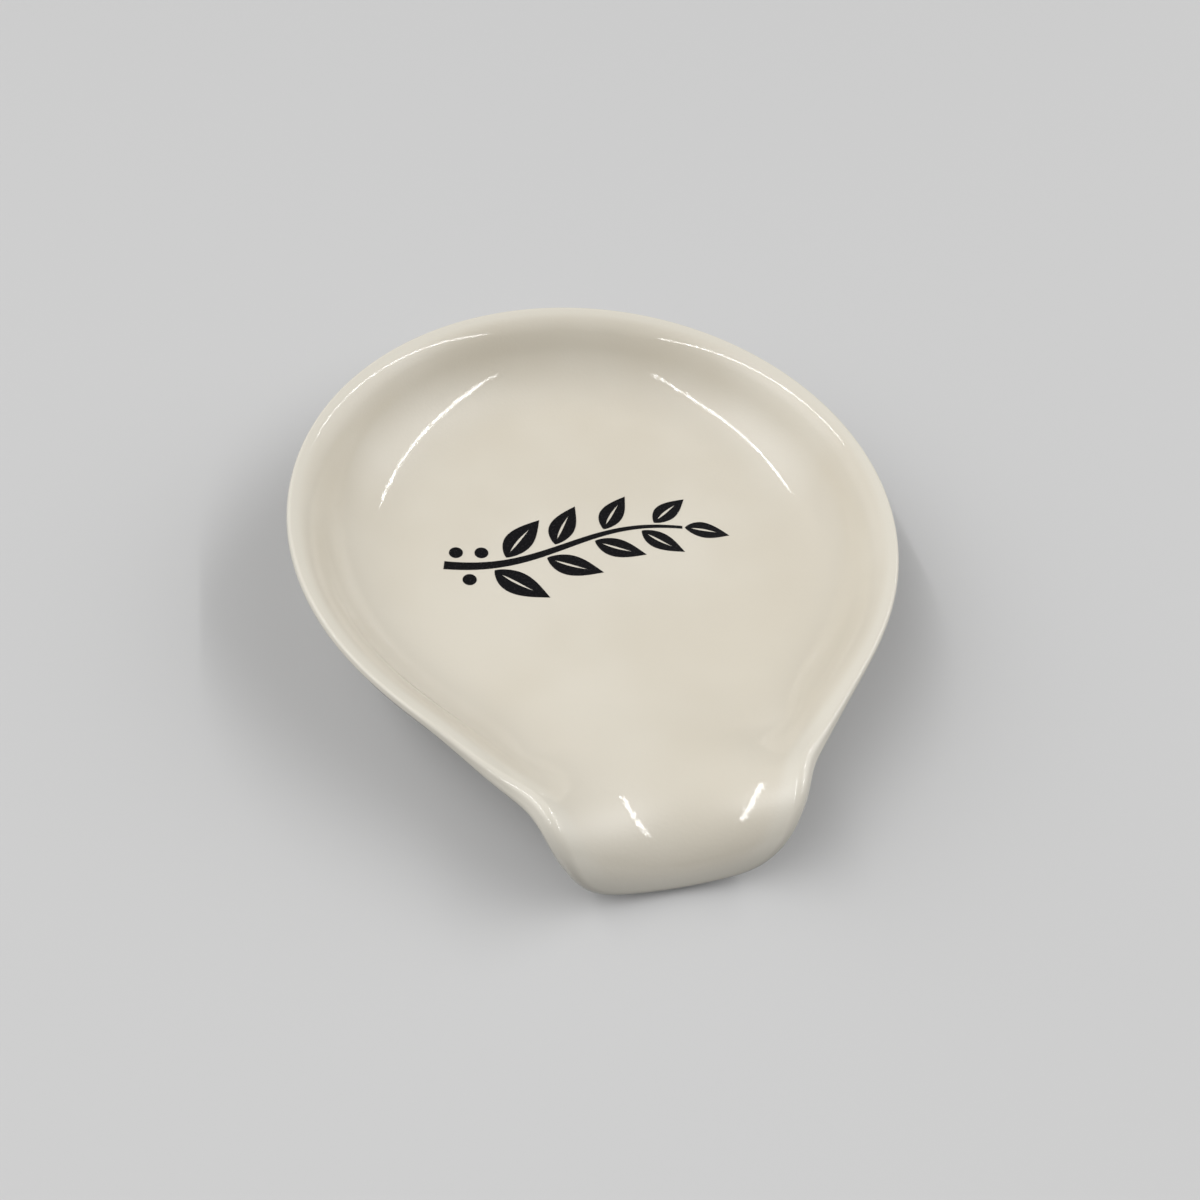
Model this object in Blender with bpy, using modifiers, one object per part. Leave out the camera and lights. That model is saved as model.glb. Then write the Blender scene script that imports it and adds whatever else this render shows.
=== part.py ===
"""Spoon rest: a round glazed dish with a rolled lip for the spoon's handle and a sprig on its floor.

Metres, +Z up. The lip points to -Y, and the origin lies on the table under the middle of the whole length.
"""

import math

import bmesh
import bpy
from mathutils import Vector

MM = 0.001

# The bowl, turned about the vertical axis
BOWL_RADIUS = 54.0 * MM
BOWL_DEPTH = 13.8 * MM
WALL = 4.0 * MM
COVE_RADIUS = 15.3 * MM
WALL_SLOPE = math.radians(70)
RIM_FLAT = 0.16 * MM

# The lip: a tongue of the wall pulled outwards, lowered and rolled down over a round edge. It is hollow
# across: a trough with this radius in its middle, whose sides straighten out past this width, and which
# deepens over this length up to the lip's end.
LIP_REACH = 12.0 * MM
LIP_CLEARANCE = 0.6 * MM
LIP_ROLL_RADIUS = 10.5 * MM
LIP_END_SLOPE = math.radians(72.8)
LIP_RAMP_LEAD = 4.0 * MM
LIP_HALF_ANGLE = math.radians(19.6)
LIP_SHOULDER_POWER = 7.5
LIP_END_FLATNESS = 1.24
LIP_HOLLOW_RADIUS = 20.5 * MM
LIP_HOLLOW_WIDTH = 28.5 * MM
LIP_HOLLOW_LENGTH = 21.0 * MM
NECK_HALF_ANGLE = math.radians(28.2)
NECK_POWER = 7.1

# The foot ring under the floor
FOOT_HEIGHT = 4.0 * MM
FOOT_WIDTH = 4.0 * MM
FOOT_INSET = 1.5 * MM
FOOT_ROUND = 0.5 * MM

# The print on the floor: a sprig that grows from left to right, drawn at a size of its own
INK_THICKNESS = 0.12 * MM
INK_SEAT_GAP = 0.05 * MM
PRINT_MARGIN = 7.0 * MM
ART_LENGTH = 56.5 * MM
ART_SHIFT = 1.0 * MM
STEM_SWAY = 3.0 * MM
STEM_WAVE = math.radians(140)
STEM_ROOT_WIDTH = 1.9 * MM
STEM_TIP_WIDTH = 0.7 * MM
LEAF_PAIRS = 4
LEAF_LENGTH = 12.5 * MM
LEAF_SHRINK = 0.3
LEAF_ANGLE = math.radians(48)
LEAF_GAP = 0.5 * MM
LEAF_FIRST = 10.5 * MM
LEAF_END_SPACE = 6.8 * MM
LEAF_STAGGER = 0.14
LEAF_FILL = 0.76
LEAF_BEND = 0.12
BLADE_FULLNESS = 0.8
VEIN_WIDTH = 0.5 * MM
VEIN_START = 0.14
VEIN_END = 0.74
BERRY_COUNT = 3
BERRY_RADIUS = 1.3 * MM
BERRY_GAP = 1.0 * MM
BERRY_FIRST = 2.0 * MM
BERRY_PITCH = 2.6 * MM

# How finely the round shapes are divided
TURN_STEPS = 120
TURN_BUNCHING = 0.45
COVE_STEPS = 12
WALL_STEPS = 2
RIM_STEPS = 4
FOOT_STEPS = 2
STEM_STEPS = 24
LEAF_STEPS = 9
BERRY_STEPS = 24
WELD = 0.001 * MM
SHARP_ANGLE = math.radians(50)

# Sizes that follow from the ones above, on the surface midway through the clay. The rim's own line
# is the centre of its round edge, half a wall inside it.
RIM_RADIUS = BOWL_RADIUS - WALL / 2
FLOOR_HEIGHT = FOOT_HEIGHT + WALL / 2
RIM_HEIGHT = FOOT_HEIGHT + WALL + BOWL_DEPTH - WALL / 2
COVE_MID_RADIUS = COVE_RADIUS + WALL / 2
COVE_WIDTH = COVE_MID_RADIUS * math.sin(WALL_SLOPE)
COVE_RISE = COVE_MID_RADIUS * (1 - math.cos(WALL_SLOPE))
WALL_LENGTH = (RIM_HEIGHT - FLOOR_HEIGHT - COVE_RISE) / math.sin(WALL_SLOPE)
FLOOR_RADIUS = RIM_RADIUS - COVE_WIDTH - WALL_LENGTH * math.cos(WALL_SLOPE)
LIP_END = RIM_RADIUS + LIP_REACH
LIP_ROLL_START = LIP_END - LIP_ROLL_RADIUS * math.sin(LIP_END_SLOPE)
LIP_RAMP_START = FLOOR_RADIUS - LIP_RAMP_LEAD
LIP_CREST = LIP_CLEARANCE + WALL / 2 + LIP_ROLL_RADIUS * (1 - math.cos(LIP_END_SLOPE))
FOOT_RADIUS = LIP_RAMP_START - FOOT_INSET
PRINT_HEIGHT = FOOT_HEIGHT + WALL + INK_SEAT_GAP + INK_THICKNESS / 2

# The sprig as drawn: its leaves fill part of the room between them. Then the whole is scaled to the floor.
TIP_LEAF_LENGTH = LEAF_LENGTH * (1 - LEAF_SHRINK)
STEM_LENGTH = ART_LENGTH - LEAF_GAP - TIP_LEAF_LENGTH
LEAF_PITCH = (STEM_LENGTH - LEAF_FIRST - LEAF_END_SPACE) / (LEAF_PAIRS - 1)
LEAF_WIDTH = LEAF_FILL * LEAF_PITCH * math.sin(LEAF_ANGLE)
PRINT_SCALE = 2 * (FLOOR_RADIUS - PRINT_MARGIN) / ART_LENGTH


def clear_scene():
    """Empty the scene of everything it starts with."""
    for obj in list(bpy.data.objects):
        bpy.data.objects.remove(obj)


def new_collection(name):
    collection = bpy.data.collections.new(name)
    bpy.context.scene.collection.children.link(collection)
    return collection


def new_material(name, colour, roughness, coat=0.0):
    material = bpy.data.materials.new(name)
    material.use_nodes = True
    shader = material.node_tree.nodes["Principled BSDF"]
    shader.inputs["Base Color"].default_value = (*colour, 1)
    shader.inputs["Roughness"].default_value = roughness
    shader.inputs["Metallic"].default_value = 0
    shader.inputs["Coat Weight"].default_value = coat
    return material


def new_object(name, data, collection, material, parent):
    obj = bpy.data.objects.new(name, data)
    obj.parent = parent
    data.materials.append(material)
    collection.objects.link(obj)
    return obj


def mesh_from(bm, name):
    bmesh.ops.recalc_face_normals(bm, faces=bm.faces)
    mesh = bpy.data.meshes.new(name)
    bm.to_mesh(mesh)
    bm.free()
    mesh.shade_smooth()
    return mesh


def bowl_section():
    """Radius and height along half the bowl, from the axis over the floor and up the wall to the rim."""
    flat = (0, LIP_RAMP_START, LIP_RAMP_START + LIP_RAMP_LEAD / 2)
    points = [(radius, FLOOR_HEIGHT) for radius in flat]
    for step in range(COVE_STEPS + 1):
        turn = WALL_SLOPE * step / COVE_STEPS
        rise = COVE_MID_RADIUS * (1 - math.cos(turn))
        points.append((FLOOR_RADIUS + COVE_MID_RADIUS * math.sin(turn), FLOOR_HEIGHT + rise))
    for step in range(1, WALL_STEPS + 1):
        length = WALL_LENGTH * step / WALL_STEPS
        radius = FLOOR_RADIUS + COVE_WIDTH + length * math.cos(WALL_SLOPE)
        points.append((radius, FLOOR_HEIGHT + COVE_RISE + length * math.sin(WALL_SLOPE)))
    return points


def share_of_wall(radius):
    """How far along the wall's surface a point of the bowl lies: 0 at the floor's edge, 1 at the rim."""
    out = radius - FLOOR_RADIUS
    if out <= COVE_WIDTH:
        length = COVE_MID_RADIUS * math.asin(max(out, 0) / COVE_MID_RADIUS)
    else:
        length = COVE_MID_RADIUS * WALL_SLOPE + (out - COVE_WIDTH) / math.cos(WALL_SLOPE)
    return length / (COVE_MID_RADIUS * WALL_SLOPE + WALL_LENGTH)


def fade(angle, half_angle, power):
    """1 in front, where the lip is, falling smoothly to 0 past the half angle."""
    return 1 / (1 + (abs(angle) / half_angle) ** power)


def rim_plan(angle):
    """The rim's line from above, at an angle from the front: distance to the right and to the front."""
    radius = RIM_RADIUS + LIP_REACH * fade(angle, LIP_HALF_ANGLE, LIP_SHOULDER_POWER)
    squaring = LIP_END_FLATNESS * (1 - math.cos(angle)) * fade(angle, NECK_HALF_ANGLE, NECK_POWER)
    return radius * math.sin(angle), radius * (math.cos(angle) + squaring)


def unrolled(forward):
    """Length along the lip's sheet of a point this far to the front."""
    past = forward - LIP_ROLL_START
    return forward if past <= 0 else LIP_ROLL_START + LIP_ROLL_RADIUS * math.asin(past / LIP_ROLL_RADIUS)


def mix(start, end, share):
    return start + (end - start) * share


def eased(value, start, end):
    """0 at the start and 1 at the end, level at both."""
    share = min(max((value - start) / (end - start), 0), 1)
    return share * share * (3 - 2 * share)


def lip_point(length):
    """Distance to the front, and height, of the lip's middle line at this length along its sheet."""
    height = mix(FLOOR_HEIGHT, LIP_CREST, eased(length, LIP_RAMP_START, LIP_ROLL_START))
    if length <= LIP_ROLL_START:
        return length, height
    turn = (length - LIP_ROLL_START) / LIP_ROLL_RADIUS
    drop = LIP_ROLL_RADIUS * (1 - math.cos(turn))
    return LIP_ROLL_START + LIP_ROLL_RADIUS * math.sin(turn), height - drop


def lip_hollow(across, forward):
    """How far the lip's trough rises beside its middle line."""
    depth = math.hypot(across, LIP_HOLLOW_WIDTH) - LIP_HOLLOW_WIDTH
    rise = depth * LIP_HOLLOW_WIDTH / LIP_HOLLOW_RADIUS
    return rise * eased(forward, LIP_END - LIP_HOLLOW_LENGTH, LIP_END)


def shaped(point):
    """Where a point of the turned bowl goes when the lip is pulled out of its wall."""
    radius = math.hypot(point.x, point.y)
    turned = math.atan2(point.x, -point.y)
    # The turned steps bunch up towards the lip, where the shape changes most.
    angle = turned - TURN_BUNCHING * math.sin(turned)
    share = share_of_wall(radius)
    within = min(radius, FLOOR_RADIUS)
    right, front = within * math.sin(angle), within * math.cos(angle)
    rim_right, rim_front = rim_plan(angle)
    stretch = max(radius - FLOOR_RADIUS, 0) / (RIM_RADIUS - FLOOR_RADIUS)
    bowl = Vector((mix(right, rim_right, stretch), -mix(front, rim_front, stretch), point.z))
    across = mix(right, rim_right, share)
    lip_front, lip_height = lip_point(mix(front, unrolled(rim_front), share))
    lip = Vector((across, -lip_front, lip_height + lip_hollow(across, lip_front)))
    return bowl.lerp(lip, fade(angle, NECK_HALF_ANGLE, NECK_POWER))


def extend_edge(bm, width):
    """Carry the open edge of a surface on by this width, square to the edge."""
    edges = [edge for edge in bm.edges if edge.is_boundary]
    outward = {}
    for vert in {vert for edge in edges for vert in edge.verts}:
        before, after = [link.other_vert(vert).co for link in vert.link_edges if link.is_boundary]
        across = (after - before).cross(vert.normal).normalized()
        inner = next(link.other_vert(vert).co for link in vert.link_edges if not link.is_boundary)
        outward[vert.co.copy().freeze()] = across if across.dot(vert.co - inner) > 0 else -across
    grown = bmesh.ops.extrude_edge_only(bm, edges=edges)["geom"]
    for vert in [item for item in grown if isinstance(item, bmesh.types.BMVert)]:
        vert.co += width * outward[vert.co.copy().freeze()]


def dish_mesh():
    """The dish's middle surface: the bowl turned from its section, with the lip pulled out of it."""
    bm = bmesh.new()
    section = [bm.verts.new((radius, 0, height)) for radius, height in bowl_section()]
    edges = [bm.edges.new(pair) for pair in zip(section, section[1:])]
    axis = {"cent": (0, 0, 0), "axis": (0, 0, 1)}
    bmesh.ops.spin(bm, geom=section + edges, **axis, angle=math.tau, steps=TURN_STEPS, use_merge=True)
    bmesh.ops.remove_doubles(bm, verts=bm.verts, dist=WELD)
    for vert in bm.verts:
        vert.co = shaped(vert.co)
    bmesh.ops.recalc_face_normals(bm, faces=bm.faces)
    bm.normal_update()
    extend_edge(bm, WALL / 2)
    return mesh_from(bm, "dish")


def foot_ring(collection, material, parent):
    """The foot ring, turned, and long enough to reach into the floor that it is one with."""
    inner = FOOT_RADIUS - FOOT_WIDTH
    corners = [(FOOT_RADIUS, FLOOR_HEIGHT), (FOOT_RADIUS, 0), (inner, 0), (inner, FLOOR_HEIGHT)]
    bm = bmesh.new()
    section = [bm.verts.new((radius, 0, height)) for radius, height in corners]
    for vert, following in zip(section, section[1:] + section[:1]):
        bm.edges.new((vert, following))
    mesh = bpy.data.meshes.new("foot_ring")
    bm.to_mesh(mesh)
    bm.free()
    ring = new_object("foot_ring", mesh, collection, material, parent)
    screw = ring.modifiers.new("Turn", "SCREW")
    screw.steps = screw.render_steps = TURN_STEPS
    screw.use_merge_vertices = True
    screw.merge_threshold = WELD
    bevel = ring.modifiers.new("Round", "BEVEL")
    bevel.width = FOOT_ROUND
    bevel.segments = FOOT_STEPS
    bevel.limit_method = "ANGLE"
    ring.hide_render = True
    ring.display_type = "WIRE"
    return ring


def make_dish(parts, helpers, glaze, parent):
    """The clay body: its middle surface given the wall's thickness, a round rim and the foot ring."""
    dish = new_object("dish", dish_mesh(), parts, glaze, parent)
    clay = dish.modifiers.new("Clay", "SOLIDIFY")
    clay.thickness = WALL
    clay.offset = 0
    clay.use_even_offset = True
    rim = dish.modifiers.new("Rim", "BEVEL")
    rim.width = (WALL - RIM_FLAT) / 2
    rim.segments = RIM_STEPS
    rim.limit_method = "ANGLE"
    rim.angle_limit = SHARP_ANGLE
    foot = dish.modifiers.new("Foot", "BOOLEAN")
    foot.operation = "UNION"
    foot.object = foot_ring(helpers, glaze, parent)
    return dish


def print_island(name, outlines, place, collection, ink, parent):
    """One island of ink: flat outlines, the first its edge and any other a gap in it, scaled to fit."""
    curve = bpy.data.curves.new(name, "CURVE")
    curve.dimensions = "2D"
    curve.fill_mode = "BOTH"
    curve.extrude = INK_THICKNESS / 2
    for outline in outlines:
        spline = curve.splines.new("POLY")
        spline.points.add(len(outline) - 1)
        for point, (along, across) in zip(spline.points, outline):
            point.co = (along * PRINT_SCALE, across * PRINT_SCALE, 0, 1)
        spline.use_cyclic_u = True
    island = new_object(name, curve, collection, ink, parent)
    along, across, turn = place
    island.location = (along * PRINT_SCALE, (across + ART_SHIFT) * PRINT_SCALE, PRINT_HEIGHT)
    island.rotation_euler.z = turn
    return island


def stem_point(distance):
    """Place on the stem this far along from its root, the stem's direction and its width there."""
    share = distance / STEM_LENGTH
    phase = STEM_WAVE * (2 * share - 1)
    slope = 2 * STEM_WAVE * STEM_SWAY * math.cos(phase) / STEM_LENGTH
    width = mix(STEM_ROOT_WIDTH, STEM_TIP_WIDTH, share)
    return distance - ART_LENGTH / 2, STEM_SWAY * math.sin(phase), math.atan(slope), width


def beside_stem(distance, side, gap=0):
    """The point this gap off the stem, on its left (side 1) or right (side -1), and the stem's turn."""
    along, across, turn, width = stem_point(distance)
    reach = side * (width / 2 + gap)
    return along - reach * math.sin(turn), across + reach * math.cos(turn), turn


def stem_outline():
    distances = [STEM_LENGTH * step / STEM_STEPS for step in range(STEM_STEPS + 1)]
    right = [beside_stem(distance, -1)[:2] for distance in distances]
    left = [beside_stem(distance, 1)[:2] for distance in distances]
    return right + left[::-1]


def blade(length, width, start, end, bend):
    """A blade with two points, between two shares of a length and bent to one side, as an outline."""
    sides = ([], [])
    for step in range(LEAF_STEPS + 1):
        share = mix(start, end, step / LEAF_STEPS)
        half_width = width / 2 * math.sin(math.pi * (step / LEAF_STEPS) ** BLADE_FULLNESS)
        for points, side in zip(sides, (-1, 1)):
            points.append((length * share, bend * share * share + side * half_width))
    return sides[0] + sides[1][-2:0:-1]


def leaf_outlines(length, side):
    """A leaf's edge and the vein left open along its middle; both bend towards the stem's tip."""
    width = LEAF_WIDTH * length / LEAF_LENGTH
    bend = -side * LEAF_BEND * length
    return [blade(length, width, 0, 1, bend), blade(length, VEIN_WIDTH, VEIN_START, VEIN_END, bend)]


def leaf_size(distance):
    """Leaves get shorter from the root to the tip of the stem."""
    return LEAF_LENGTH * (1 - LEAF_SHRINK * distance / STEM_LENGTH)


def berry_outline():
    angles = [math.tau * step / BERRY_STEPS for step in range(BERRY_STEPS)]
    return [(BERRY_RADIUS * math.cos(angle), BERRY_RADIUS * math.sin(angle)) for angle in angles]


def make_print(parts, ink, parent):
    """The sprig: a stem, berries at its root, pairs of leaves along it and a leaf at its tip."""
    print_island("print_stem", [stem_outline()], (0, 0, 0), parts, ink, parent)
    for number in range(BERRY_COUNT):
        place = beside_stem(BERRY_FIRST + BERRY_PITCH * number, (-1) ** number, BERRY_GAP + BERRY_RADIUS)
        print_island(f"print_berry_{number + 1}", [berry_outline()], place, parts, ink, parent)
    for number in range(2 * LEAF_PAIRS):
        side = (-1) ** number
        distance = LEAF_FIRST + LEAF_PITCH * (number // 2 + side * LEAF_STAGGER)
        along, across, turn = beside_stem(distance, side, LEAF_GAP)
        place = (along, across, turn + side * LEAF_ANGLE)
        outlines = leaf_outlines(leaf_size(distance), side)
        print_island(f"print_leaf_{number + 1}", outlines, place, parts, ink, parent)
    along, across, turn, _ = stem_point(STEM_LENGTH)
    place = (along + LEAF_GAP * math.cos(turn), across + LEAF_GAP * math.sin(turn), turn)
    print_island("print_tip_leaf", leaf_outlines(TIP_LEAF_LENGTH, 1), place, parts, ink, parent)


def stand_over_origin(base, dish):
    """Move the whole part so that the middle of its length stands over the origin."""
    bpy.context.view_layer.update()
    evaluated = dish.evaluated_get(bpy.context.evaluated_depsgraph_get())
    ends = [corner[1] for corner in evaluated.bound_box]
    base.location.y = -(min(ends) + max(ends)) / 2


def main():
    clear_scene()
    parts = new_collection("Spoon rest")
    helpers = new_collection("Helpers")
    glaze = new_material("warm white glaze", (0.73, 0.68, 0.58), 0.12, coat=0.6)
    ink = new_material("black ceramic ink", (0.012, 0.012, 0.013), 0.3)
    base = bpy.data.objects.new("spoon_rest", None)
    parts.objects.link(base)
    dish = make_dish(parts, helpers, glaze, base)
    make_print(parts, ink, base)
    stand_over_origin(base, dish)


main()
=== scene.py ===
"""Looks of the spoon rest: its glazed dish and the sprig printed on the floor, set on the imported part.

Metres, +Z up, with the lip towards -Y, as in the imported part.
"""

import logging
import math
from dataclasses import dataclass
from enum import Enum
from typing import NamedTuple

import bmesh
import bpy
from mathutils import Matrix, Vector
from mathutils.kdtree import KDTree


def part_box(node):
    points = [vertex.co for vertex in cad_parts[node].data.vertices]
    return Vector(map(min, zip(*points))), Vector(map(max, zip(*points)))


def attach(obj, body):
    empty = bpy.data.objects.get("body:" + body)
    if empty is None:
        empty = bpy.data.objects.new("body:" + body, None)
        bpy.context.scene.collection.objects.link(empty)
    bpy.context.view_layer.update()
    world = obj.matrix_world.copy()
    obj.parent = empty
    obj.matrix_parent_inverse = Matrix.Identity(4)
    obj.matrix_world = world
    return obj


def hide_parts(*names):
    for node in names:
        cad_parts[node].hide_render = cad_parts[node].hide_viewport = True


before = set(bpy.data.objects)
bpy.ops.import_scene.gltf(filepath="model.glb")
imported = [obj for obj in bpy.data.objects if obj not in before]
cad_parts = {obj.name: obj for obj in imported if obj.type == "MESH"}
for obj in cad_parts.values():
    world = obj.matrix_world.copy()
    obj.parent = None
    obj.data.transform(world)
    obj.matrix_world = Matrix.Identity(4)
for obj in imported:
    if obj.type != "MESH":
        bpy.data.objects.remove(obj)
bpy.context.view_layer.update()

MM = 0.001
BODY = "root"
LOG = logging.getLogger("spoon_rest")

# The attribute that marks the rim: the glaze lies thin there, and its paler tone is also a painted
# reflection.
THIN_GLAZE_AND_SHEEN = "thin_glaze_and_sheen"
GLAZE_IOR = 1.5
# A Mix node's colour sockets and its colour result, by number.
MIX_COLOURS = (6, 7)
MIX_RESULT = 2
# A bevel's profile that is an arc.
ARC_PROFILE = 0.5
# Half the side of a unit grid, and half the middle row of one that has three rows.
GRID_HALF = 0.5
ROW_HALF = 1 / 6
# Height of the point that the camera looks at.
AIM_HEIGHT = 1.8 * MM

Colour = tuple[float, float, float]
Place = tuple[float, float, float]
Span = tuple[float, float]


class Middle(NamedTuple):
    """A point midway through the clay, and how much thinner than the wall the clay is there."""

    place: Vector
    thinning: float


def point_tree(middles: list[Middle]) -> KDTree:
    """A tree that finds the nearest of some points by its number."""
    tree = KDTree(len(middles))
    for number, middle in enumerate(middles):
        tree.insert(middle.place, number)
    tree.balance()
    return tree


class Slot(Enum):
    """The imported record's material slots."""

    GLAZE = "glaze"
    PRINT = "print"


class Side(Enum):
    """The two sides of the printed stem, by the sign of the distance across it."""

    LEFT = 1
    RIGHT = -1


def mix(start: float, end: float, share: float) -> float:
    """The value this share of the way from start to end."""
    return start + (end - start) * share


def eased(value: float, start: float, end: float) -> float:
    """0 at start and 1 at end, level at both, for a value between them."""
    share = min(max((value - start) / (end - start), 0), 1)
    return share * share * (3 - 2 * share)


def mesh_from(bm: bmesh.types.BMesh, name: str) -> bpy.types.Mesh:
    """Turn a bmesh into a smooth mesh and free it.

    Args:
        bm: the shape, which is used up.
        name: the mesh's name.

    Returns:
        The new mesh.
    """
    mesh = bpy.data.meshes.new(name)
    bm.to_mesh(mesh)
    bm.free()
    mesh.shade_smooth()
    return mesh


def show_piece(name: str, mesh: bpy.types.Mesh, node: str) -> bpy.types.Object:
    """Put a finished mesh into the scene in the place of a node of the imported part.

    Args:
        name: the piece's name.
        mesh: its mesh, already in place.
        node: the node it stands for.

    Returns:
        The piece.
    """
    piece = bpy.data.objects.new(name, mesh)
    bpy.context.scene.collection.objects.link(piece)
    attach(piece, BODY)
    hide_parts(node)
    return piece


class NodeBench:
    """The node tree of a material or a world, with short calls that add nodes and join them."""

    def __init__(self, owner: bpy.types.Material | bpy.types.World) -> None:
        """Start with the shader that a new material or world has.

        Args:
            owner: the material or world.
        """
        owner.use_nodes = True
        self.owner = owner
        self.tree = owner.node_tree
        self.shader = next(node for node in self.tree.nodes if node.outputs)

    def add(self, kind: str, inputs: dict | None = None, **settings: object) -> bpy.types.Node:
        """Add a node.

        Args:
            kind: the node's type, without its prefix.
            inputs: values or other nodes' sockets for its inputs.
            settings: values for its properties.

        Returns:
            The new node.
        """
        node = self.tree.nodes.new("ShaderNode" + kind)
        for name, value in settings.items():
            setattr(node, name, value)
        self.feed(node, inputs or {})
        return node

    def feed(self, node: bpy.types.Node, inputs: dict) -> None:
        """Set a node's inputs.

        Args:
            node: the node.
            inputs: values or other nodes' sockets, by the input's name or number.
        """
        for name, value in inputs.items():
            if isinstance(value, bpy.types.NodeSocket):
                self.tree.links.new(value, node.inputs[name])
            else:
                node.inputs[name].default_value = value

    def noise(self, place: bpy.types.NodeSocket, size: float, detail: float) -> bpy.types.NodeSocket:
        """A noise pattern.

        Args:
            place: the coordinates it lies on.
            size: its grain, in metres.
            detail: how many finer layers it has.

        Returns:
            Its value, about 0.5 in the middle.
        """
        inputs = {"Vector": place, "Scale": 1 / size, "Detail": detail}
        return self.add("TexNoise", inputs).outputs["Fac"]

    def ramp(self, value: bpy.types.NodeSocket, start: float, end: float) -> bpy.types.NodeSocket:
        """A value from 0 to 1 as another goes from start to end."""
        limits = {"Value": value, "From Min": start, "From Max": end}
        return self.add("MapRange", limits, interpolation_type="SMOOTHSTEP").outputs["Result"]

    def blend(self, share: bpy.types.NodeSocket, first: object, second: object) -> bpy.types.NodeSocket:
        """A colour between two, each a colour or a socket."""
        inputs = {"Factor": share}
        for socket, value in zip(MIX_COLOURS, (first, second)):
            inputs[socket] = value if isinstance(value, bpy.types.NodeSocket) else (*value, 1)
        return self.add("Mix", inputs, data_type="RGBA").outputs[MIX_RESULT]

    def scaled(self, value: bpy.types.NodeSocket, start: float, end: float) -> bpy.types.NodeSocket:
        """A value that goes from start to end as another goes from 0 to 1."""
        return self.add("MapRange", {"Value": value, "To Min": start, "To Max": end}).outputs["Result"]

    def maths(self, operation: str, first: object, second: object) -> bpy.types.NodeSocket:
        """The result of a Math node for two values, each a number or a socket."""
        return self.add("Math", {0: first, 1: second}, operation=operation).outputs["Value"]

    def bump(
        self, height: bpy.types.NodeSocket, depth: float, under: bpy.types.NodeSocket | None = None
    ) -> bpy.types.NodeSocket:
        """Normals that a pattern raises.

        Args:
            height: the pattern.
            depth: how high it stands, in metres.
            under: the normals it lies on, if not the surface's own.

        Returns:
            The new normals.
        """
        inputs = {"Height": height, "Distance": depth, "Strength": 1.0}
        if under is not None:
            inputs["Normal"] = under
        return self.add("Bump", inputs).outputs["Normal"]


@dataclass(frozen=True)
class GlazeFinish:
    """Glossy warm white glaze over pale clay, which shows bare under the foot ring."""

    tone: Colour = (0.735, 0.69, 0.595)
    shade: Colour = (0.70, 0.65, 0.55)
    # Paler at the rim: partly thin glaze, partly a painted reflection of the light on the rim.
    thin: Colour = (0.75, 0.712, 0.622)
    clay: Colour = (0.62, 0.54, 0.43)
    clay_dark: Colour = (0.50, 0.42, 0.32)
    cloud_size: float = 28 * MM
    wave_size: float = 7 * MM
    peel_size: float = 0.6 * MM
    grain_size: float = 0.5 * MM
    wave_height: float = 0.05 * MM
    peel_height: float = 0.013 * MM
    bare_height: float = 0.35 * MM
    patches: Span = (0.35, 0.7)
    waves: Span = (0.3, 0.7)
    gloss: Span = (0.045, 0.085)
    clay_roughness: float = 0.85

    def material(self) -> bpy.types.Material:
        """Make the glaze: clouded, paler at the rim where it is thin and as a painted reflection, with
        slow waves and a fine orange peel.
        """
        bench = NodeBench(bpy.data.materials.new("warm white glaze"))
        place = bench.add("TexCoord").outputs["Object"]
        cloud = bench.noise(place, self.cloud_size, 2)
        wave = bench.noise(place, self.wave_size, 1)
        peel = bench.noise(place, self.peel_size, 1)
        grain = bench.noise(place, self.grain_size, 4)
        thin = bench.add("Attribute", attribute_name=THIN_GLAZE_AND_SHEEN).outputs["Fac"]
        height = bench.add("SeparateXYZ", {"Vector": place}).outputs["Z"]
        bare = bench.ramp(height, self.bare_height, self.bare_height / 2)
        glaze = bench.blend(bench.ramp(cloud, *self.patches), self.tone, self.shade)
        # Painted reflection: the rim is painted paler, beside the glaze's own thinning there.
        glaze = bench.blend(thin, glaze, self.thin)
        clay = bench.blend(bench.ramp(grain, *self.patches), self.clay, self.clay_dark)
        gloss = bench.scaled(bench.ramp(wave, *self.waves), *self.gloss)
        rough = bench.add("Mix", {"Factor": bare, "A": gloss, "B": self.clay_roughness})
        slow = bench.bump(wave, self.wave_height)
        bench.feed(bench.shader, {
            "Base Color": bench.blend(bare, glaze, clay),
            "Roughness": rough.outputs["Result"],
            "Normal": bench.bump(peel, self.peel_height, slow),
            "IOR": GLAZE_IOR,
        })
        return bench.owner


@dataclass(frozen=True)
class InkFinish:
    """Black ceramic ink, fired into the glaze, a little uneven in its density and gloss."""

    tone: Colour = (0.005, 0.005, 0.006)
    faded: Colour = (0.011, 0.010, 0.011)
    grain_size: float = 0.45 * MM
    grain_height: float = 0.004 * MM
    spots: Span = (0.45, 0.75)
    gloss: Span = (0.16, 0.34)

    def material(self) -> bpy.types.Material:
        """Make the ink: black with slightly thinner spots, and glossy, though less than the glaze."""
        bench = NodeBench(bpy.data.materials.new("black ceramic ink"))
        place = bench.add("TexCoord").outputs["Object"]
        grain = bench.noise(place, self.grain_size, 3)
        bench.feed(bench.shader, {
            "Base Color": bench.blend(bench.ramp(grain, *self.spots), self.tone, self.faded),
            "Roughness": bench.scaled(grain, *self.gloss),
            "Normal": bench.bump(grain, self.grain_height),
            "IOR": GLAZE_IOR,
        })
        return bench.owner


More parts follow.
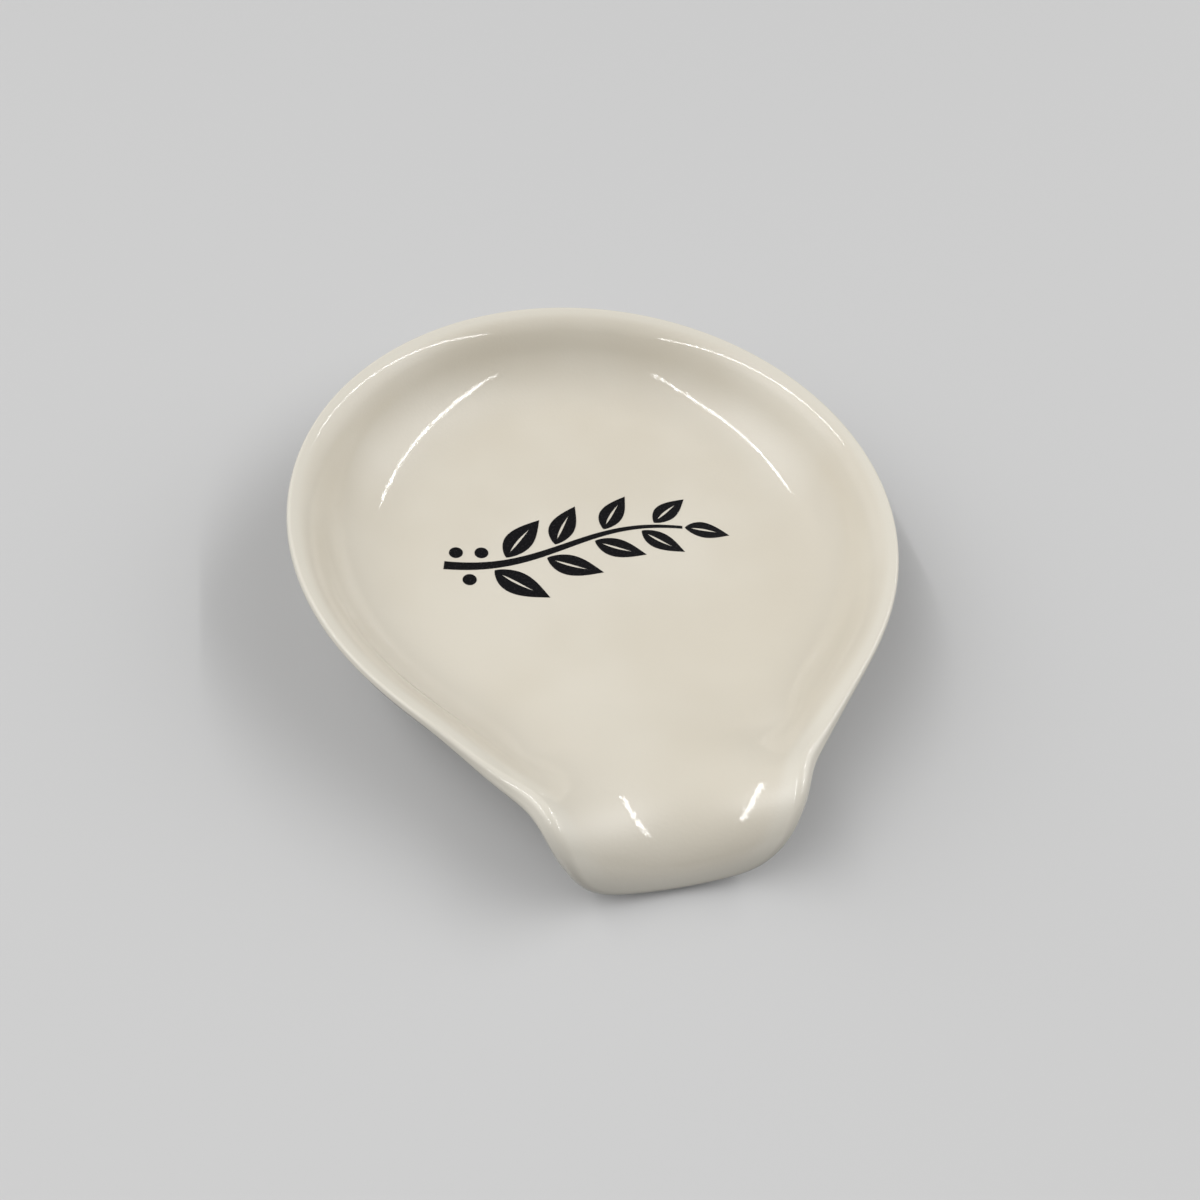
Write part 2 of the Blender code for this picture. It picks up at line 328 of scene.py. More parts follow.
@dataclass
class Dish:
    """The clay body: a turned bowl, a lip pulled out of its wall and rolled down, and a foot ring."""

    axis_y: float
    bowl_radius: float = 54.0 * MM
    bowl_depth: float = 13.8 * MM
    wall: float = 4.0 * MM
    cove_radius: float = 15.3 * MM
    wall_slope: float = math.radians(70)
    # The rim: the flat between its two rounds, its flare, and how far from it the glaze is thin and
    # painted paler as a painted reflection.
    rim_flat: float = 0.8 * MM
    thin_rim: float = 1.4 * MM
    flare_start: float = 0.82
    flare_turn: float = math.radians(60)
    flare_rise: float = 1.75 * MM
    flare_half_angle: float = math.radians(29)
    flare_damping: float = 3.0
    thin_and_sheen_run: float = 1.5 * MM
    # The lip, its necks and its trough.
    lip_reach: float = 12.0 * MM
    lip_clearance: float = 0.6 * MM
    roll_radius: float = 10.5 * MM
    end_slope: float = math.radians(72.8)
    ramp_lead: float = 4.0 * MM
    lip_half_angle: float = math.radians(19.6)
    shoulder_power: float = 7.5
    end_flatness: float = 1.24
    neck_half_angle: float = math.radians(28.2)
    neck_power: float = 7.1
    hollow_radius: float = 20.5 * MM
    hollow_width: float = 28.5 * MM
    hollow_length: float = 21.0 * MM
    # The foot ring.
    foot_height: float = 4.0 * MM
    foot_width: float = 4.0 * MM
    foot_inset: float = 1.5 * MM
    foot_round: float = 0.5 * MM
    foot_fillet: float = 0.8 * MM
    # How fine the mesh is, and what counts as one point or as a sharp edge.
    turn_steps: int = 384
    turn_bunching: float = 0.45
    cove_steps: int = 24
    wall_steps: int = 8
    rim_steps: int = 8
    foot_steps: int = 5
    weld: float = 0.001 * MM
    sharp_angle: float = math.radians(50)

    def __post_init__(self) -> None:
        """Work out the sizes that follow, on the surface midway through the clay."""
        self.rim_radius = self.bowl_radius - self.wall / 2
        self.floor_height = self.foot_height + self.wall / 2
        self.rim_height = self.foot_height + self.bowl_depth + self.wall / 2
        self.cove_middle = self.cove_radius + self.wall / 2
        self.cove_width = self.cove_middle * math.sin(self.wall_slope)
        cove_rise = self.cove_middle * (1 - math.cos(self.wall_slope))
        self.wall_length = (self.rim_height - self.floor_height - cove_rise) / math.sin(self.wall_slope)
        wall_run = self.wall_length * math.cos(self.wall_slope)
        self.floor_radius = self.rim_radius - self.cove_width - wall_run
        self.lip_end = self.rim_radius + self.lip_reach
        self.roll_start = self.lip_end - self.roll_radius * math.sin(self.end_slope)
        self.ramp_start = self.floor_radius - self.ramp_lead
        roll_drop = self.roll_radius * (1 - math.cos(self.end_slope))
        self.crest = self.lip_clearance + self.wall / 2 + roll_drop
        self.foot_radius = self.ramp_start - self.foot_inset

    @property
    def floor_top(self) -> float:
        """Height of the floor's upper face."""
        return self.foot_height + self.wall

    def section(self, bm: bmesh.types.BMesh) -> list:
        """Draw half the bowl's section: from the axis over the floor, up the cove and wall to the rim.

        Args:
            bm: the bmesh to draw it in.

        Returns:
            Its vertices and edges.
        """
        vert = bm.verts.new((0, 0, self.floor_height))
        rings = (self.foot_radius - self.foot_width, self.foot_radius, self.ramp_start)
        for radius in (*rings, self.floor_radius):
            grown = bmesh.ops.extrude_vert_indiv(bm, verts=[vert])
            vert = grown["verts"][0]
            vert.co.x = radius
        middle = (self.floor_radius, 0, self.floor_height + self.cove_middle)
        turn = {"cent": middle, "axis": (0, -1, 0), "angle": self.wall_slope, "steps": self.cove_steps}
        arc = bmesh.ops.spin(bm, geom=[vert], **turn)["geom_last"]
        vert = next(item for item in arc if isinstance(item, bmesh.types.BMVert))
        grown = bmesh.ops.extrude_vert_indiv(bm, verts=[vert])
        reach = Vector((math.cos(self.wall_slope), 0, math.sin(self.wall_slope))) * self.wall_length
        bmesh.ops.translate(bm, verts=grown["verts"], vec=reach)
        bmesh.ops.subdivide_edges(bm, edges=grown["edges"], cuts=self.wall_steps - 1)
        return [*bm.verts, *bm.edges]

    def wall_share(self, radius: float) -> float:
        """How far along the wall's surface a radius lies: 0 at the floor's edge, 1 at the rim."""
        out = radius - self.floor_radius
        cove_length = self.cove_middle * self.wall_slope
        if out <= self.cove_width:
            length = self.cove_middle * math.asin(max(out, 0) / self.cove_middle)
        else:
            length = cove_length + (out - self.cove_width) / math.cos(self.wall_slope)
        return length / (cove_length + self.wall_length)

    @staticmethod
    def fade(angle: float, half_angle: float, power: float) -> float:
        """1 in front, where the lip is, falling smoothly to 0 past the half angle."""
        return 1 / (1 + (abs(angle) / half_angle) ** power)

    def rim_plan(self, angle: float) -> tuple[float, float]:
        """The rim's line seen from above.

        Args:
            angle: direction from the bowl's axis, from the front.

        Returns:
            Distance to the right and to the front.
        """
        reach = self.lip_reach * self.fade(angle, self.lip_half_angle, self.shoulder_power)
        radius = self.rim_radius + reach
        squaring = self.end_flatness * (1 - math.cos(angle)) * self.lip_share(angle)
        return radius * math.sin(angle), radius * (math.cos(angle) + squaring)

    def unrolled(self, forward: float) -> float:
        """Length along the lip's sheet of a point this far to the front."""
        past = forward - self.roll_start
        if past <= 0:
            return forward
        return self.roll_start + self.roll_radius * math.asin(past / self.roll_radius)

    def lip_point(self, length: float) -> tuple[float, float]:
        """The lip's middle line.

        Args:
            length: length along its sheet from the bowl's axis.

        Returns:
            Distance to the front, and height.
        """
        height = mix(self.floor_height, self.crest, eased(length, self.ramp_start, self.roll_start))
        if length <= self.roll_start:
            return length, height
        turn = (length - self.roll_start) / self.roll_radius
        drop = self.roll_radius * (1 - math.cos(turn))
        return self.roll_start + self.roll_radius * math.sin(turn), height - drop

    def hollow(self, across: float, forward: float) -> float:
        """How far the lip's trough rises beside its middle line."""
        slope = self.hollow_width / self.hollow_radius
        rise = slope * (math.hypot(across, self.hollow_width) - self.hollow_width)
        return rise * eased(forward, self.lip_end - self.hollow_length, self.lip_end)

    def direction(self, point: Vector) -> float:
        """A turned point's direction about the bowl's axis, from the front, where the turns bunch."""
        turned = math.atan2(point.x, -point.y)
        return turned - self.turn_bunching * math.sin(turned)

    def lip_share(self, angle: float) -> float:
        """How far the dish is lip rather than bowl in a direction."""
        return self.fade(angle, self.neck_half_angle, self.neck_power)

    def flare(self, point: Vector) -> tuple[float, float]:
        """How the rim flares: its inside turns outwards on a round, while its outside runs straight on.

        Args:
            point: the point on the turned bowl, about its axis.

        Returns:
            The thickness that is missing there, and how far up the wall the point moves.
        """
        share = self.wall_share(math.hypot(point.x, point.y))
        climb = max(share - self.flare_start, 0) / (1 - self.flare_start)
        beside_lip = 1 - self.fade(self.direction(point), self.flare_half_angle, self.neck_power)
        turned = 1 - math.sqrt(1 - (climb * math.sin(self.flare_turn)) ** 2)
        missing = (self.wall - self.thin_rim) * turned / (1 - math.cos(self.flare_turn))
        return missing * beside_lip, self.flare_rise * climb * beside_lip

    def pulled(self, point: Vector) -> Vector:
        """Where a point of the turned bowl goes when the lip is pulled out of its wall.

        Args:
            point: the point on the turned bowl, about its axis.

        Returns:
            The point's place on the dish, still about the bowl's axis.
        """
        radius = math.hypot(point.x, point.y)
        angle = self.direction(point)
        share = self.wall_share(radius)
        within = min(radius, self.floor_radius)
        right, front = within * math.sin(angle), within * math.cos(angle)
        rim_right, rim_front = self.rim_plan(angle)
        stretch = max(radius - self.floor_radius, 0) / (self.rim_radius - self.floor_radius)
        bowl = Vector((mix(right, rim_right, stretch), -mix(front, rim_front, stretch), point.z))
        across = mix(right, rim_right, share)
        lip_front, lip_height = self.lip_point(mix(front, self.unrolled(rim_front), share))
        lip = Vector((across, -lip_front, lip_height + self.hollow(across, lip_front)))
        return bowl.lerp(lip, self.lip_share(angle))

    def extend_edge(self, bm: bmesh.types.BMesh, thinning: bmesh.types.BMLayerItem) -> list[Middle]:
        """Carry the open edge on by half the wall, square to the edge and leaning out with the flare.

        Args:
            bm: the surface.
            thinning: the layer with the thickness that is missing.

        Returns:
            The points of the old edge, which are the middle of the round rim.
        """
        edges = [edge for edge in bm.edges if edge.is_boundary]
        carried, rim = {}, []
        for vert in {vert for edge in edges for vert in edge.verts}:
            before, after = [link.other_vert(vert).co for link in vert.link_edges if link.is_boundary]
            inner = next(link.other_vert(vert) for link in vert.link_edges if not link.is_boundary)
            across = (after - before).cross(vert.normal).normalized()
            along = across * across.dot(vert.co - inner.co)
            along -= vert.normal * (vert[thinning] - inner[thinning]) / self.flare_damping
            carried[vert.co.copy().freeze()] = along.normalized()
            rim.append(Middle(vert.co.copy(), vert[thinning]))
        grown = bmesh.ops.extrude_edge_only(bm, edges=edges)["geom"]
        for vert in [item for item in grown if isinstance(item, bmesh.types.BMVert)]:
            vert.co += carried[vert.co.copy().freeze()] * self.wall / 2
        return rim

    def sheet(self) -> tuple[bpy.types.Mesh, list[Middle], list[Middle]]:
        """Make the surface midway through the clay, about the bowl's axis. Thin clay keeps its outside.

        Returns:
            The open surface, the points along the middle of its round rim, and its other points.
        """
        bm = bmesh.new()
        section = self.section(bm)
        turn = {"cent": (0, 0, 0), "axis": (0, 0, 1), "angle": math.tau, "steps": self.turn_steps}
        bmesh.ops.spin(bm, geom=section, **turn, use_merge=True)
        bmesh.ops.remove_doubles(bm, verts=bm.verts, dist=self.weld)
        for name in ("thinning", "rise", "share"):
            bm.verts.layers.float.new(name)
        thinning, rise, share = bm.verts.layers.float.values()
        for vert in bm.verts:
            vert[share] = self.wall_share(vert.co.xy.length)
            vert[thinning], vert[rise] = self.flare(vert.co)
            vert.co = self.pulled(vert.co)
        bmesh.ops.recalc_face_normals(bm, faces=bm.faces)
        if sum(face.normal.z for face in bm.faces) < 0:
            bmesh.ops.reverse_faces(bm, faces=bm.faces)
        bm.normal_update()
        shifts = {}
        for vert in [vert for vert in bm.verts if vert[rise] > 0]:
            neighbours = [link.other_vert(vert) for link in vert.link_edges]
            inner = min(neighbours, key=lambda other: other[share])
            upward = (vert.co - inner.co).normalized()
            shifts[vert] = upward * vert[rise] - vert.normal * vert[thinning] / 2
        for vert, shift in shifts.items():
            vert.co += shift
        bm.normal_update()
        middles = [Middle(vert.co.copy(), vert[thinning]) for vert in bm.verts if not vert.is_boundary]
        rim = self.extend_edge(bm, thinning)
        return mesh_from(bm, "dish_sheet"), rim, middles

    def thickened(self, sheet: bpy.types.Mesh) -> bmesh.types.BMesh:
        """Give the surface the wall's thickness and a round rim.

        Args:
            sheet: the surface midway through the clay.

        Returns:
            The closed shell.
        """
        former = bpy.data.objects.new("dish_former", sheet)
        bpy.context.scene.collection.objects.link(former)
        clay = former.modifiers.new("Clay", "SOLIDIFY")
        clay.thickness = self.wall
        clay.offset = 0
        clay.use_even_offset = True
        rim = former.modifiers.new("Rim", "BEVEL")
        rim.width = (self.wall - self.rim_flat) / 2
        rim.segments = self.rim_steps
        rim.limit_method = "ANGLE"
        rim.angle_limit = self.sharp_angle
        # Clamped, the narrowest place along the rim would shrink the round everywhere.
        rim.use_clamp_overlap = False
        shaped = former.evaluated_get(bpy.context.evaluated_depsgraph_get())
        bm = bmesh.new()
        bm.from_mesh(shaped.to_mesh())
        bpy.data.objects.remove(former)
        return bm

    def thin_out(self, bm: bmesh.types.BMesh, middles: list[Middle]) -> None:
        """Draw the shell in to the clay's own thickness at each place.

        Args:
            bm: the shell, as thick as the wall all over.
            middles: points all over the surface midway through the clay.
        """
        tree = point_tree(middles)
        for vert in bm.verts:
            middle, number, _ = tree.find(vert.co)
            vert.co = middle.lerp(vert.co, 1 - middles[number].thinning / self.wall)

    def stand_on_foot(self, bm: bmesh.types.BMesh) -> None:
        """Draw the foot ring down from the floor's underside and round it.

        Args:
            bm: the shell, about the bowl's axis.
        """
        inner, outer = self.foot_radius - self.foot_width, self.foot_radius
        under = [face for face in bm.faces if face.calc_center_median().z < self.foot_height + self.weld]
        ring = [face for face in under if inner < face.calc_center_median().xy.length < outer]
        grown = bmesh.ops.extrude_face_region(bm, geom=ring)["geom"]
        foot = [item for item in grown if isinstance(item, bmesh.types.BMVert)]
        bmesh.ops.translate(bm, verts=foot, vec=(0, 0, -self.foot_height))
        bmesh.ops.delete(bm, geom=ring, context="FACES")
        bmesh.ops.recalc_face_normals(bm, faces=bm.faces)
        bm.normal_update()
        arc = {"segments": self.foot_steps, "profile": ARC_PROFILE, "affect": "EDGES", "material": -1}
        for height, width in ((self.foot_height, self.foot_fillet), (0, self.foot_round)):
            level = [edge for edge in bm.edges if self.lies_at(edge, height)]
            edges = [edge for edge in level if edge.calc_face_angle(0) > self.sharp_angle]
            bmesh.ops.bevel(bm, geom=edges, offset=width, **arc)

    def lies_at(self, edge: bmesh.types.BMEdge, height: float) -> bool:
        """Whether an edge lies level at a height."""
        return all(abs(vert.co.z - height) < self.weld for vert in edge.verts)

    def mark_thin_glaze_and_sheen(self, mesh: bpy.types.Mesh, rim: list[Middle]) -> None:
        """Store, at each point, how thin the glaze lies there: it runs off the round rim. The same mark
        paints the rim paler, as a painted reflection.

        Args:
            mesh: the dish, about the bowl's axis.
            rim: points along the middle of the round rim.
        """
        tree = point_tree(rim)
        thin = mesh.attributes.new(THIN_GLAZE_AND_SHEEN, "FLOAT", "POINT")
        for vert, value in zip(mesh.vertices, thin.data):
            _, number, distance = tree.find(vert.co)
            beyond = distance - (self.wall - rim[number].thinning) / 2
            value.value = 1 - eased(beyond, 0, self.thin_and_sheen_run)

    def build(self) -> bpy.types.Object:
        """Make the dish's piece."""
        sheet, rim, middles = self.sheet()
        bm = self.thickened(sheet)
        self.thin_out(bm, [*middles, *rim])
        self.stand_on_foot(bm)
        bmesh.ops.remove_doubles(bm, verts=bm.verts, dist=self.weld)
        bmesh.ops.recalc_face_normals(bm, faces=bm.faces)
        mesh = mesh_from(bm, "glazed_dish")
        self.mark_thin_glaze_and_sheen(mesh, rim)
        mesh.transform(Matrix.Translation((0, self.axis_y, 0)))
        return show_piece("glazed_dish", mesh, "dish")

    def dress(self, piece: bpy.types.Object, finish: GlazeFinish) -> None:
        """Give the dish its glaze."""
        piece.data.materials.append(finish.material())


@dataclass
class Sprig:
    """The print on the floor: a stem with berries at its root, pairs of leaves and a leaf at its tip."""

    axis_y: float
    floor_radius: float
    floor_top: float
    ink_thickness: float = 0.11 * MM
    ink_sink: float = 0.02 * MM
    ink_round: float = 0.03 * MM
    margin: float = 7.0 * MM
    art_length: float = 56.5 * MM
    art_shift: float = 1.0 * MM
    stem_sway: float = 3.0 * MM
    stem_wave: float = math.radians(140)
    root_width: float = 1.9 * MM
    tip_width: float = 0.7 * MM
    leaf_pairs: int = 4
    leaf_length: float = 12.5 * MM
    leaf_shrink: float = 0.3
    leaf_angle: float = math.radians(48)
    leaf_gap: float = 0.5 * MM
    leaf_first: float = 10.5 * MM
    leaf_end_space: float = 6.8 * MM
    leaf_stagger: float = 0.14
    leaf_fill: float = 0.76
    leaf_bend: float = 0.12
    blade_fullness: float = 0.8
    vein_width: float = 0.5 * MM
    vein_start: float = 0.14
    vein_end: float = 0.74
    berry_count: int = 3
    berry_radius: float = 1.3 * MM
    berry_gap: float = 1.0 * MM
    berry_first: float = 2.0 * MM
    berry_pitch: float = 2.6 * MM
    stem_steps: int = 96
    leaf_steps: int = 40
    berry_steps: int = 64
    weld: float = 0.001 * MM
    sharp_angle: float = math.radians(15)

    def __post_init__(self) -> None:
        """Work out the sizes that follow, and the scale of the drawing on the floor."""
        self.tip_leaf_length = self.leaf_length * (1 - self.leaf_shrink)
        self.stem_length = self.art_length - self.leaf_gap - self.tip_leaf_length
        leafy_length = self.stem_length - self.leaf_first - self.leaf_end_space
        self.leaf_pitch = leafy_length / (self.leaf_pairs - 1)
        self.leaf_width = self.leaf_fill * self.leaf_pitch * math.sin(self.leaf_angle)
        self.scale = 2 * (self.floor_radius - self.margin) / self.art_length

    def stem_point(self, distance: float) -> tuple[float, float, float, float]:
        """The stem's middle line.

        Args:
            distance: how far along from its root.

        Returns:
            Place along and across the drawing, the stem's direction and its width there.
        """
        share = distance / self.stem_length
        phase = self.stem_wave * (2 * share - 1)
        slope = 2 * self.stem_wave * self.stem_sway * math.cos(phase) / self.stem_length
        width = mix(self.root_width, self.tip_width, share)
        return distance - self.art_length / 2, self.stem_sway * math.sin(phase), math.atan(slope), width

    def beside_stem(self, distance: float, side: Side, gap: float) -> Place:
        """A place beside the stem.

        Args:
            distance: how far along from its root.
            side: which side.
            gap: how far off the stem's edge.

        Returns:
            Place along and across the drawing, and the stem's direction.
        """
        along, across, turn, width = self.stem_point(distance)
        reach = side.value * (width / 2 + gap)
        return along - reach * math.sin(turn), across + reach * math.cos(turn), turn

    def blade_half_width(self, width: float, share: float) -> float:
        """Half a blade's width at a share of its length."""
        return width / 2 * math.sin(math.pi * min(max(share, 0), 1) ** self.blade_fullness)

    def stem(self) -> bmesh.types.BMesh:
        """Draw the stem: a strip that follows the wave and narrows to its tip."""
        bm = bmesh.new()
        bmesh.ops.create_grid(bm, x_segments=self.stem_steps, y_segments=1, size=GRID_HALF)
        for vert in bm.verts:
            side = Side.LEFT if vert.co.y > 0 else Side.RIGHT
            distance = (vert.co.x + GRID_HALF) * self.stem_length
            vert.co.x, vert.co.y, _ = self.beside_stem(distance, side, 0)
        return bm

    def leaf(self, length: float, side: Side) -> bmesh.types.BMesh:
        """Draw a leaf: two halves of a bent blade with the vein left open between them.

        Args:
            length: the leaf's length.
            side: the side of the stem that it grows on.

        Returns:
            The flat leaf, with its base at the origin.
        """
        bm = bmesh.new()
        bmesh.ops.create_grid(bm, x_segments=self.leaf_steps, y_segments=3, size=GRID_HALF)
        middle = [face for face in bm.faces if abs(face.calc_center_median().y) < ROW_HALF]
        bmesh.ops.delete(bm, geom=middle, context="FACES")
        width = self.leaf_width * length / self.leaf_length
        for vert in bm.verts:
            share = vert.co.x + GRID_HALF
            if abs(vert.co.y) > 2 * ROW_HALF:
                half_width = self.blade_half_width(width, share)
            else:
                vein = (share - self.vein_start) / (self.vein_end - self.vein_start)
                half_width = self.blade_half_width(self.vein_width, vein)
            bend = -side.value * self.leaf_bend * length * share * share
            vert.co.x, vert.co.y = length * share, bend + math.copysign(half_width, vert.co.y)
        bmesh.ops.remove_doubles(bm, verts=bm.verts, dist=self.weld)
        return bm

    def berry(self) -> bmesh.types.BMesh:
        """Draw a berry: a round dot."""
        bm = bmesh.new()
        bmesh.ops.create_circle(bm, cap_ends=True, segments=self.berry_steps, radius=self.berry_radius)
        return bm

    def lay(self, bm: bmesh.types.BMesh, place: Place, shape: str) -> bpy.types.Object:
        """Give a flat shape the ink's thickness and a soft edge, and lay it on the floor.

        Args:
            bm: the flat shape, which is used up.
            place: its place along and across the drawing, and its direction.
            shape: what it shows, which names the piece and the node it stands for.

        Returns:
            The piece.
        """
        along, across, turn = place
        bmesh.ops.scale(bm, vec=(self.scale, self.scale, 1), verts=bm.verts)
        bmesh.ops.recalc_face_normals(bm, faces=bm.faces)
        grown = bmesh.ops.extrude_face_region(bm, geom=bm.faces[:])["geom"]
        top = [item for item in grown if isinstance(item, bmesh.types.BMVert)]
        bmesh.ops.translate(bm, verts=top, vec=(0, 0, self.ink_thickness))
        bmesh.ops.recalc_face_normals(bm, faces=bm.faces)
        bm.normal_update()
        near_top = self.ink_thickness - self.weld
        upper = [face for face in bm.faces if face.calc_center_median().z > near_top]
        inset = bmesh.ops.inset_region(bm, faces=upper, thickness=self.ink_round, use_boundary=True)
        level = {vert for face in upper for vert in face.verts}
        edge = {vert for face in inset["faces"] for vert in face.verts} - level
        bmesh.ops.translate(bm, verts=list(edge), vec=(0, 0, -self.ink_round))
        bmesh.ops.recalc_face_normals(bm, faces=bm.faces)
        spot = Vector((along, across + self.art_shift, 0)) * self.scale
        spot += Vector((0, self.axis_y, self.floor_top - self.ink_sink))
        move = Matrix.Translation(spot) @ Matrix.Rotation(turn, 4, "Z")
        bmesh.ops.transform(bm, matrix=move, verts=bm.verts)
        name = f"ink_{shape}"
        mesh = mesh_from(bm, name)
        mesh.set_sharp_from_angle(angle=self.sharp_angle)
        return show_piece(name, mesh, f"print_{shape}")

    def build(self) -> list[bpy.types.Object]:
        """Make every island of ink."""
        pieces = [self.lay(self.stem(), (0, 0, 0), "stem")]
        for number in range(self.berry_count):
            side = Side.LEFT if number % 2 == 0 else Side.RIGHT
            distance = self.berry_first + self.berry_pitch * number
            place = self.beside_stem(distance, side, self.berry_gap + self.berry_radius)
            pieces.append(self.lay(self.berry(), place, f"berry_{number + 1}"))
        for number in range(2 * self.leaf_pairs):
            side = Side.LEFT if number % 2 == 0 else Side.RIGHT
            distance = self.leaf_first + self.leaf_pitch * (number // 2 + side.value * self.leaf_stagger)
            length = self.leaf_length * (1 - self.leaf_shrink * distance / self.stem_length)
            along, across, turn = self.beside_stem(distance, side, self.leaf_gap)
            place = (along, across, turn + side.value * self.leaf_angle)
            pieces.append(self.lay(self.leaf(length, side), place, f"leaf_{number + 1}"))
        along, across, turn, _ = self.stem_point(self.stem_length)
        place = (along + self.leaf_gap * math.cos(turn), across + self.leaf_gap * math.sin(turn), turn)
        pieces.append(self.lay(self.leaf(self.tip_leaf_length, Side.LEFT), place, "tip_leaf"))
        return pieces

    def dress(self, pieces: list[bpy.types.Object], finish: InkFinish) -> None:
        """Give every island the ink."""
        ink = finish.material()
        for piece in pieces:
            piece.data.materials.append(ink)


@dataclass(frozen=True)
class Strip:
    """A long overhead lamp that runs from front to back."""

    across: float
    front: float
    back: float
    glow: float
    height: float = 1.0
    width: float = 0.03

    def hang(self) -> bpy.types.Object:
        """Hang the lamp, facing down."""
        length = self.back - self.front
        lamp = bpy.data.lights.new("strip", "AREA")
        lamp.shape = "RECTANGLE"
        lamp.size = self.width
        lamp.size_y = length
        lamp.energy = self.glow * math.pi * self.width * length
        strip = bpy.data.objects.new("strip", lamp)
        strip.location = (self.across, (self.front + self.back) / 2, self.height)
        bpy.context.scene.collection.objects.link(strip)
        return strip


@dataclass(frozen=True)
class Glow:
    """A soft patch of light on the sky, brightest in its middle."""

    azimuth: float
    elevation: float
    sharpness: float
    strength: float

    def shine(self, bench: NodeBench) -> bpy.types.NodeSocket:
        """Add the patch to the world's nodes.

        Args:
            bench: the world's nodes.

        Returns:
            How much light the patch sends from each direction.
        """
        level = math.cos(self.elevation)
        middle = (
            math.sin(self.azimuth) * level,
            math.cos(self.azimuth) * level,
            math.sin(self.elevation),
        )
        look = bench.add("TexCoord").outputs["Generated"]
        facing = bench.add("VectorMath", {0: look, 1: middle}, operation="DOT_PRODUCT")
        ahead = bench.maths("MAXIMUM", facing.outputs["Value"], 0.0)
        round_patch = bench.maths("POWER", ahead, self.sharpness)
        return bench.maths("MULTIPLY", round_patch, self.strength)


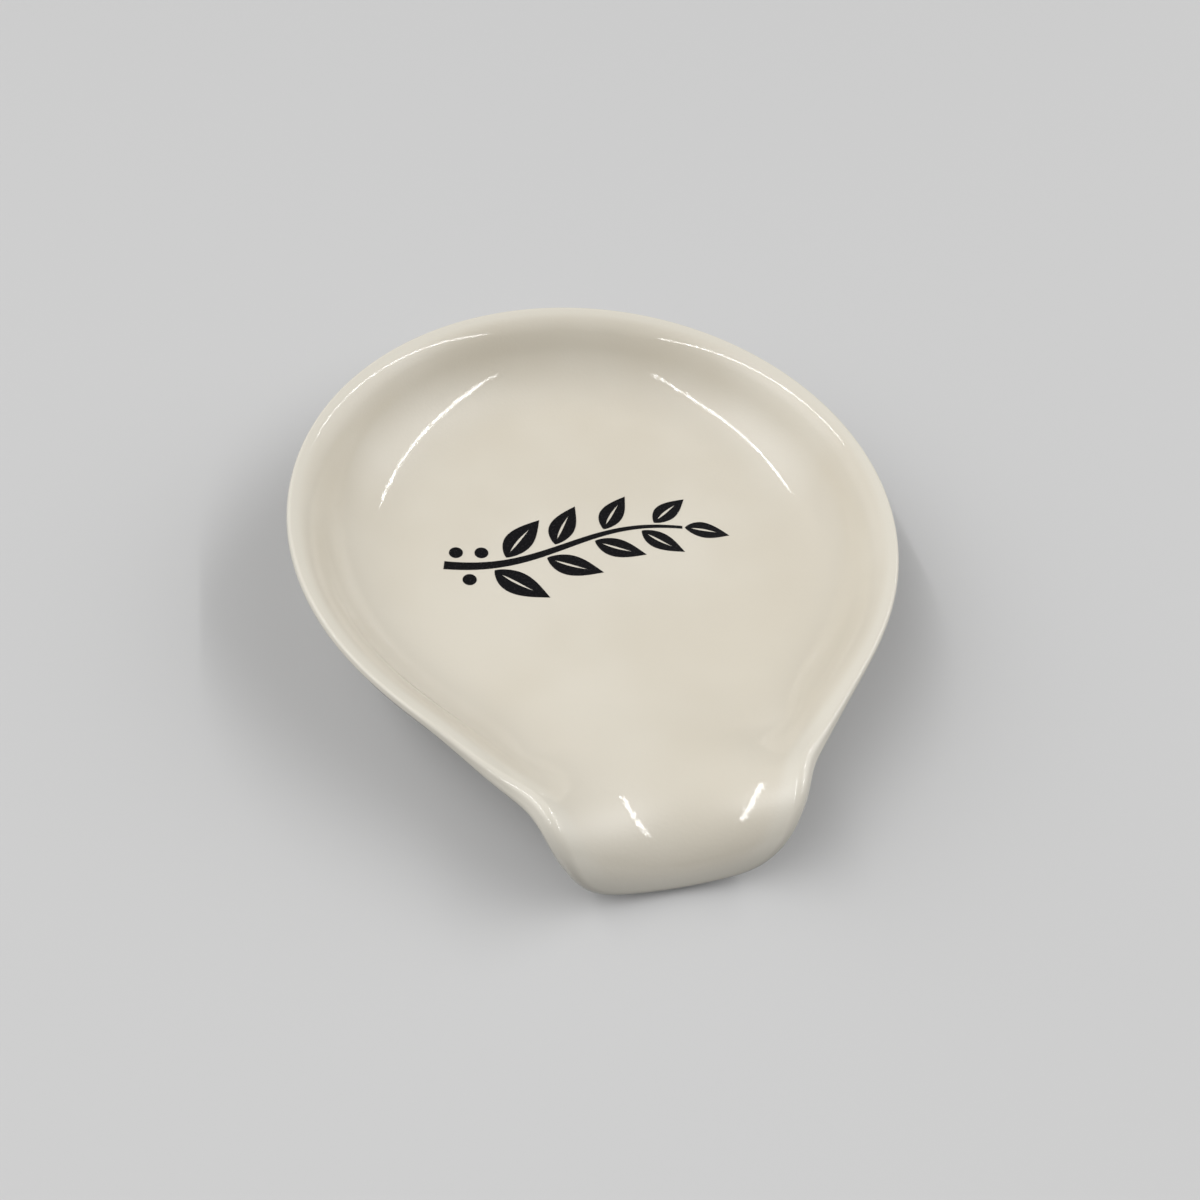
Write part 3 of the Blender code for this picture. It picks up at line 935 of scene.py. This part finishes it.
@dataclass(frozen=True)
class Studio:
    """A plain pale floor, two strip lamps and soft light from both sides."""

    aim: Place
    floor_tone: Colour = (0.60, 0.60, 0.60)
    floor_bounce: Colour = (0.15, 0.15, 0.15)
    floor_roughness: float = 0.9
    floor_specular: float = 0.1
    floor_half: float = 3.0
    # Strength of the sky: to the eye, and as plain light.
    backdrop: float = 0.75
    sky: float = 0.02
    glows: tuple[Glow, ...] = (
        Glow(azimuth=math.radians(90), elevation=math.radians(50), sharpness=12, strength=1.52),
        Glow(azimuth=math.radians(90), elevation=math.radians(25), sharpness=8, strength=1.34),
        Glow(azimuth=math.radians(-90), elevation=math.radians(50), sharpness=12, strength=2.10),
        Glow(azimuth=math.radians(-90), elevation=math.radians(25), sharpness=8, strength=1.00),
        Glow(azimuth=math.radians(-45), elevation=math.radians(25), sharpness=8, strength=0.92),
    )
    right: Strip = Strip(across=0.75, front=-0.85, back=0.70, glow=30)
    left: Strip = Strip(across=-0.60, front=-0.86, back=0.62, glow=30)
    # The photograph's camera, as fitted to the outline.
    elevation: float = math.radians(49.88)
    azimuth: float = math.radians(19.03)
    roll: float = math.radians(9.21)
    distance: float = 223.0 * MM
    focal_pixels: float = 1159.0
    image_pixels: float = 1200.0
    shift_pixels: tuple[float, float] = (12.3, -31.5)
    sensor: float = 36.0
    near_clip: float = 1 * MM

    def lay_floor(self) -> bpy.types.Object:
        """Lay the floor: pale to the eye and in reflections, and grey in the light it sends back."""
        bm = bmesh.new()
        bmesh.ops.create_grid(bm, x_segments=1, y_segments=1, size=self.floor_half)
        floor = bpy.data.objects.new("floor", mesh_from(bm, "floor"))
        bpy.context.scene.collection.objects.link(floor)
        bench = NodeBench(bpy.data.materials.new("pale floor"))
        path = bench.add("LightPath").outputs
        seen = bench.maths("MAXIMUM", path["Is Camera Ray"], path["Is Glossy Ray"])
        bench.feed(bench.shader, {
            "Base Color": bench.blend(seen, self.floor_bounce, self.floor_tone),
            "Roughness": self.floor_roughness,
            "Specular IOR Level": self.floor_specular,
        })
        floor.data.materials.append(bench.owner)
        return floor

    def light(self) -> None:
        """Hang the lamps and set the sky's soft light. To the eye the sky is a plain pale backdrop."""
        self.right.hang()
        self.left.hang()
        bpy.context.scene.world = bpy.data.worlds.new("studio")
        bench = NodeBench(bpy.context.scene.world)
        light = self.sky
        for glow in self.glows:
            light = bench.maths("ADD", light, glow.shine(bench))
        eye = bench.add("LightPath").outputs["Is Camera Ray"]
        strength = bench.add("Mix", {"Factor": eye, "A": light, "B": self.backdrop}).outputs["Result"]
        bench.feed(bench.shader, {"Color": (1, 1, 1, 1), "Strength": strength})

    def set_camera(self) -> bpy.types.Object:
        """Set the camera where the photograph was taken from."""
        level = math.cos(self.elevation)
        back = Vector((
            -math.sin(self.azimuth) * level,
            -math.cos(self.azimuth) * level,
            math.sin(self.elevation),
        ))
        right = Vector((math.cos(self.azimuth), -math.sin(self.azimuth), 0))
        up = back.cross(right)
        rolled_right = math.cos(self.roll) * right + math.sin(self.roll) * up
        rolled_up = math.cos(self.roll) * up - math.sin(self.roll) * right
        lens = bpy.data.cameras.new("camera")
        lens.sensor_width = self.sensor
        lens.lens = self.sensor * self.focal_pixels / self.image_pixels
        lens.shift_x, lens.shift_y = (shift / self.image_pixels for shift in self.shift_pixels)
        lens.clip_start = self.near_clip
        camera = bpy.data.objects.new("camera", lens)
        turn = Matrix((rolled_right, rolled_up, back)).transposed().to_4x4()
        camera.matrix_world = Matrix.Translation(Vector(self.aim) + back * self.distance) @ turn
        bpy.context.scene.collection.objects.link(camera)
        bpy.context.scene.camera = camera
        return camera


def report(pieces: list[bpy.types.Object]) -> None:
    """Log each piece with its size and number of faces.

    Args:
        pieces: the finished pieces.
    """
    for piece in pieces:
        size = ", ".join(f"{side / MM:.2f}" for side in piece.dimensions)
        LOG.info("%s: %s mm, %d faces", piece.name, size, len(piece.data.polygons))


def main() -> None:
    """Build the dish, its print and the studio in order, and log each piece."""
    logging.basicConfig(level=logging.INFO, format="%(name)s: %(message)s")
    bpy.context.scene.view_settings.view_transform = "Standard"
    axis_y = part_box("dish")[1].y - Dish.bowl_radius
    dish = Dish(axis_y)
    clay = dish.build()
    dish.dress(clay, GlazeFinish())
    sprig = Sprig(axis_y, dish.floor_radius, dish.floor_top)
    ink = sprig.build()
    sprig.dress(ink, InkFinish())
    studio = Studio((0, axis_y, AIM_HEIGHT))
    studio.lay_floor()
    studio.light()
    studio.set_camera()
    bpy.context.view_layer.update()
    report([clay, *ink])


if __name__ == "__main__":
    main()
